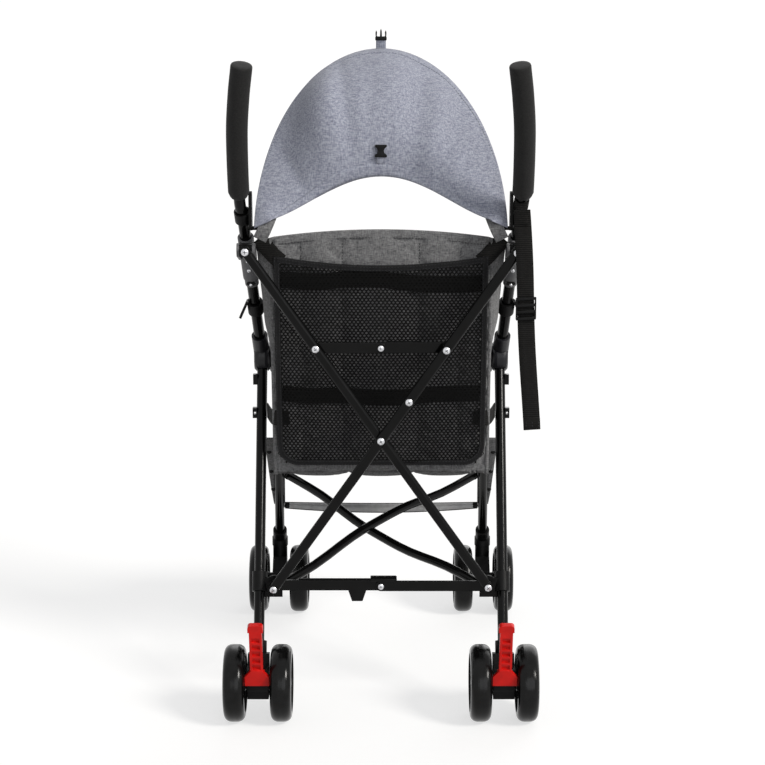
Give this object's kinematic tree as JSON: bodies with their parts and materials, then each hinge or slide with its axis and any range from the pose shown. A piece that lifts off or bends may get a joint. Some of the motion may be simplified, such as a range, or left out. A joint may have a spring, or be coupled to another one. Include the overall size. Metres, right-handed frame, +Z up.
{
  "type": "umbrella stroller",
  "caption": "Folding umbrella stroller with a crossing rear brace, twin wheels on each leg, swivel front casters, a sling seat with a net pocket, a tilting canopy and foam grips.",
  "frame": {"origin": "on the floor, under the middle of the stroller's box", "axes": "+Z up, +Y the way the stroller is pushed, +X to the right of whoever pushes it"},
  "size_m": [0.471, 0.6402, 1.0249],
  "materials": {
    "black_tube": "gloss black enamel on tube",
    "black_plastic": "satin moulded plastic",
    "grey_plastic": "satin dark grey moulded plastic",
    "foam": "matt closed-cell foam",
    "red_plastic": "gloss red moulded plastic",
    "steel": "bright zinc plate",
    "wheel": "dull black moulded tyre on a plastic rim",
    "seat_cloth": "grey heather polyester",
    "canopy_cloth": "blue-grey heather polyester",
    "net": "black knitted net with a taped edge",
    "webbing": "black woven webbing"
  },
  "bodies": {
    "cross_pivot": {"cross_bolt": "steel", "seat_back": "seat_cloth", "seat_base": "seat_cloth", "mesh_pocket": "net", "pocket_bands": "webbing", "seat_ties": "webbing", "footrest_strap": "webbing"},
    "brace_l": {"brace_left": "black_tube", "brace_bolts_left": "steel"},
    "brace_r": {"brace_right": "black_tube", "brace_bolts_right": "steel"},
    "bracket_l": {"upper_bracket_left": "black_plastic"},
    "bracket_r": {"upper_bracket_right": "black_plastic"},
    "canopy": {"canopy_cloth": "canopy_cloth", "canopy_bows": "black_plastic", "canopy_buckles": "black_plastic"},
    "side_l": {"handle_tube_left": "black_tube", "grip_left": "foam", "hinge_housing_left": "black_plastic", "tube_bracket_left": "grey_plastic", "canopy_clip_left": "black_plastic", "strap_clip_left": "black_plastic", "front_leg_left": "black_tube", "swivel_collar_left": "black_plastic"},
    "rear_l": {"rear_leg_left": "black_tube", "lower_bracket_left": "black_plastic", "axle_block_left": "black_plastic", "rear_rods_left": "steel"},
    "brake_l": {"brake_pedal_left": "red_plastic"},
    "caster_l": {"caster_fork_left": "black_plastic"},
    "lower_strut_l": {"lower_strut_left": "black_tube"},
    "upper_strut_l": {"upper_strut_left": "black_tube"},
    "seat_tube_l": {"seat_tube_left": "black_tube"},
    "rear_wheel_left_outer": {"rear_wheel_left_outer": "wheel"},
    "front_wheel_left_outer": {"front_wheel_left_outer": "wheel"},
    "rear_wheel_left_inner": {"rear_wheel_left_inner": "wheel"},
    "front_wheel_left_inner": {"front_wheel_left_inner": "wheel"},
    "side_r": {"handle_tube_right": "black_tube", "grip_right": "foam", "hinge_housing_right": "black_plastic", "tube_bracket_right": "grey_plastic", "canopy_clip_right": "black_plastic", "strap_clip_right": "black_plastic", "front_leg_right": "black_tube", "swivel_collar_right": "black_plastic", "carry_strap": "webbing", "strap_buckle": "black_plastic"},
    "rear_r": {"rear_leg_right": "black_tube", "lower_bracket_right": "black_plastic", "axle_block_right": "black_plastic", "rear_rods_right": "steel"},
    "brake_r": {"brake_pedal_right": "red_plastic"},
    "caster_r": {"caster_fork_right": "black_plastic"},
    "lower_strut_r": {"lower_strut_right": "black_tube"},
    "upper_strut_r": {"upper_strut_right": "black_tube"},
    "seat_tube_r": {"seat_tube_right": "black_tube"},
    "rear_wheel_right_outer": {"rear_wheel_right_outer": "wheel"},
    "front_wheel_right_outer": {"front_wheel_right_outer": "wheel"},
    "rear_wheel_right_inner": {"rear_wheel_right_inner": "wheel"},
    "front_wheel_right_inner": {"front_wheel_right_inner": "wheel"}
  },
  "joints": [
    {"name": "fold", "type": "hinge", "parent": "cross_pivot", "child": "brace_l", "pos_m": [0, -0.21587, 0.4254], "axis": [0, 1, 0], "range_deg": [0, 18.66], "deforming": ["seat_back", "seat_base", "mesh_pocket", "pocket_bands", "seat_ties", "footrest_strap", "canopy_cloth", "canopy_bows", "canopy_buckles"]},
    {"name": "brace_cross", "type": "hinge", "parent": "cross_pivot", "child": "brace_r", "pos_m": [0, -0.21587, 0.4254], "axis": [0, 1, 0], "range_deg": [-18.67, 0]},
    {"name": "bracket_turn_l", "type": "hinge", "parent": "brace_l", "child": "bracket_l", "pos_m": [-0.198, -0.21587, 0.707], "axis": [0, 1, 0], "range_deg": [-16.93, 0]},
    {"name": "bracket_turn_r", "type": "hinge", "parent": "brace_r", "child": "bracket_r", "pos_m": [0.198, -0.21587, 0.707], "axis": [0, 1, 0], "range_deg": [0, 16.93]},
    {"name": "handle_swing_l", "type": "hinge", "parent": "bracket_l", "child": "side_l", "pos_m": [-0.198, -0.19487, 0.707], "axis": [1, 0, 0], "range_deg": [-24.06, 0]},
    {"name": "rear_leg_swing_l", "type": "hinge", "parent": "side_l", "child": "rear_l", "pos_m": [-0.186, -0.02287, 0.513], "axis": [1, 0, 0], "range_deg": [0, 40.01]},
    {"name": "seat_tube_swing_l", "type": "hinge", "parent": "rear_l", "child": "seat_tube_l", "pos_m": [-0.16, -0.17857, 0.184], "axis": [0.7298, -0.6762, 0.1008], "range_deg": [0, 55.79]},
    {"name": "handle_swing_r", "type": "hinge", "parent": "bracket_r", "child": "side_r", "pos_m": [0.198, -0.19487, 0.707], "axis": [1, 0, 0], "range_deg": [-24.06, 0]},
    {"name": "rear_leg_swing_r", "type": "hinge", "parent": "side_r", "child": "rear_r", "pos_m": [0.186, -0.02287, 0.513], "axis": [1, 0, 0], "range_deg": [0, 40.01]},
    {"name": "seat_tube_swing_r", "type": "hinge", "parent": "rear_r", "child": "seat_tube_r", "pos_m": [0.16, -0.17857, 0.184], "axis": [0.7298, 0.6762, -0.1008], "range_deg": [0, 55.79]},
    {"name": "lower_strut_r", "type": "hinge", "parent": "brace_l", "child": "lower_strut_r", "pos_m": [0.162, -0.20287, 0.195], "axis": [0, 1, 0], "range_deg": [0, 41.85]},
    {"name": "lower_strut_l", "type": "hinge", "parent": "brace_r", "child": "lower_strut_l", "pos_m": [-0.162, -0.20287, 0.195], "axis": [0, 1, 0], "range_deg": [-41.85, 0]},
    {"name": "upper_strut_l", "type": "hinge", "parent": "brace_l", "child": "upper_strut_l", "pos_m": [-0.09633, -0.20287, 0.5624], "axis": [0, 1, 0], "range_deg": [0, 41.85]},
    {"name": "upper_strut_r", "type": "hinge", "parent": "brace_r", "child": "upper_strut_r", "pos_m": [0.09633, -0.20287, 0.5624], "axis": [0, 1, 0], "range_deg": [-41.85, 0]},
    {"name": "caster_swivel_l", "type": "hinge", "parent": "side_l", "child": "caster_l", "pos_m": [-0.178, 0.29213, 0.092], "axis": [0, 0, 1], "continuous": true},
    {"name": "brake_l", "type": "hinge", "parent": "rear_l", "child": "brake_l", "pos_m": [-0.1845, -0.27887, 0.082], "axis": [1, 0, 0], "range_deg": [0, 18]},
    {"name": "caster_swivel_r", "type": "hinge", "parent": "side_r", "child": "caster_r", "pos_m": [0.178, 0.29213, 0.092], "axis": [0, 0, 1], "continuous": true},
    {"name": "brake_r", "type": "hinge", "parent": "rear_r", "child": "brake_r", "pos_m": [0.1845, -0.27887, 0.082], "axis": [1, 0, 0], "range_deg": [0, 18]},
    {"name": "rear_roll_left_outer", "type": "hinge", "parent": "rear_l", "child": "rear_wheel_left_outer", "pos_m": [-0.1845, -0.25287, 0.058], "axis": [1, 0, 0], "continuous": true},
    {"name": "front_roll_left_outer", "type": "hinge", "parent": "caster_l", "child": "front_wheel_left_outer", "pos_m": [-0.178, 0.26213, 0.058], "axis": [1, 0, 0], "continuous": true},
    {"name": "rear_roll_left_inner", "type": "hinge", "parent": "rear_l", "child": "rear_wheel_left_inner", "pos_m": [-0.1845, -0.25287, 0.058], "axis": [1, 0, 0], "continuous": true},
    {"name": "front_roll_left_inner", "type": "hinge", "parent": "caster_l", "child": "front_wheel_left_inner", "pos_m": [-0.178, 0.26213, 0.058], "axis": [1, 0, 0], "continuous": true},
    {"name": "rear_roll_right_outer", "type": "hinge", "parent": "rear_r", "child": "rear_wheel_right_outer", "pos_m": [0.1845, -0.25287, 0.058], "axis": [1, 0, 0], "continuous": true},
    {"name": "front_roll_right_outer", "type": "hinge", "parent": "caster_r", "child": "front_wheel_right_outer", "pos_m": [0.178, 0.26213, 0.058], "axis": [1, 0, 0], "continuous": true},
    {"name": "rear_roll_right_inner", "type": "hinge", "parent": "rear_r", "child": "rear_wheel_right_inner", "pos_m": [0.1845, -0.25287, 0.058], "axis": [1, 0, 0], "continuous": true},
    {"name": "front_roll_right_inner", "type": "hinge", "parent": "caster_r", "child": "front_wheel_right_inner", "pos_m": [0.178, 0.26213, 0.058], "axis": [1, 0, 0], "continuous": true},
    {"name": "canopy_tilt", "type": "hinge", "parent": "cross_pivot", "child": "canopy", "pos_m": [0, -0.19987, 0.74], "axis": [1, 0, 0], "range_deg": [-45, 8]}
  ],
  "couplings": [
    {"joint": "brace_cross", "follows": "fold", "ratio": -1},
    {"joint": "bracket_turn_l", "follows": "fold", "ratio": -0.90651},
    {"joint": "bracket_turn_r", "follows": "fold", "ratio": 0.90651},
    {"joint": "handle_swing_l", "follows": "fold", "ratio": -1.2887},
    {"joint": "rear_leg_swing_l", "follows": "fold", "ratio": 2.1433},
    {"joint": "seat_tube_swing_l", "follows": "fold", "ratio": 2.9886},
    {"joint": "handle_swing_r", "follows": "fold", "ratio": -1.2887},
    {"joint": "rear_leg_swing_r", "follows": "fold", "ratio": 2.1433},
    {"joint": "seat_tube_swing_r", "follows": "fold", "ratio": 2.9886},
    {"joint": "lower_strut_r", "follows": "fold", "ratio": 2.2421},
    {"joint": "lower_strut_l", "follows": "fold", "ratio": -2.2421},
    {"joint": "upper_strut_l", "follows": "fold", "ratio": 2.2421},
    {"joint": "upper_strut_r", "follows": "fold", "ratio": -2.2421}
  ]
}
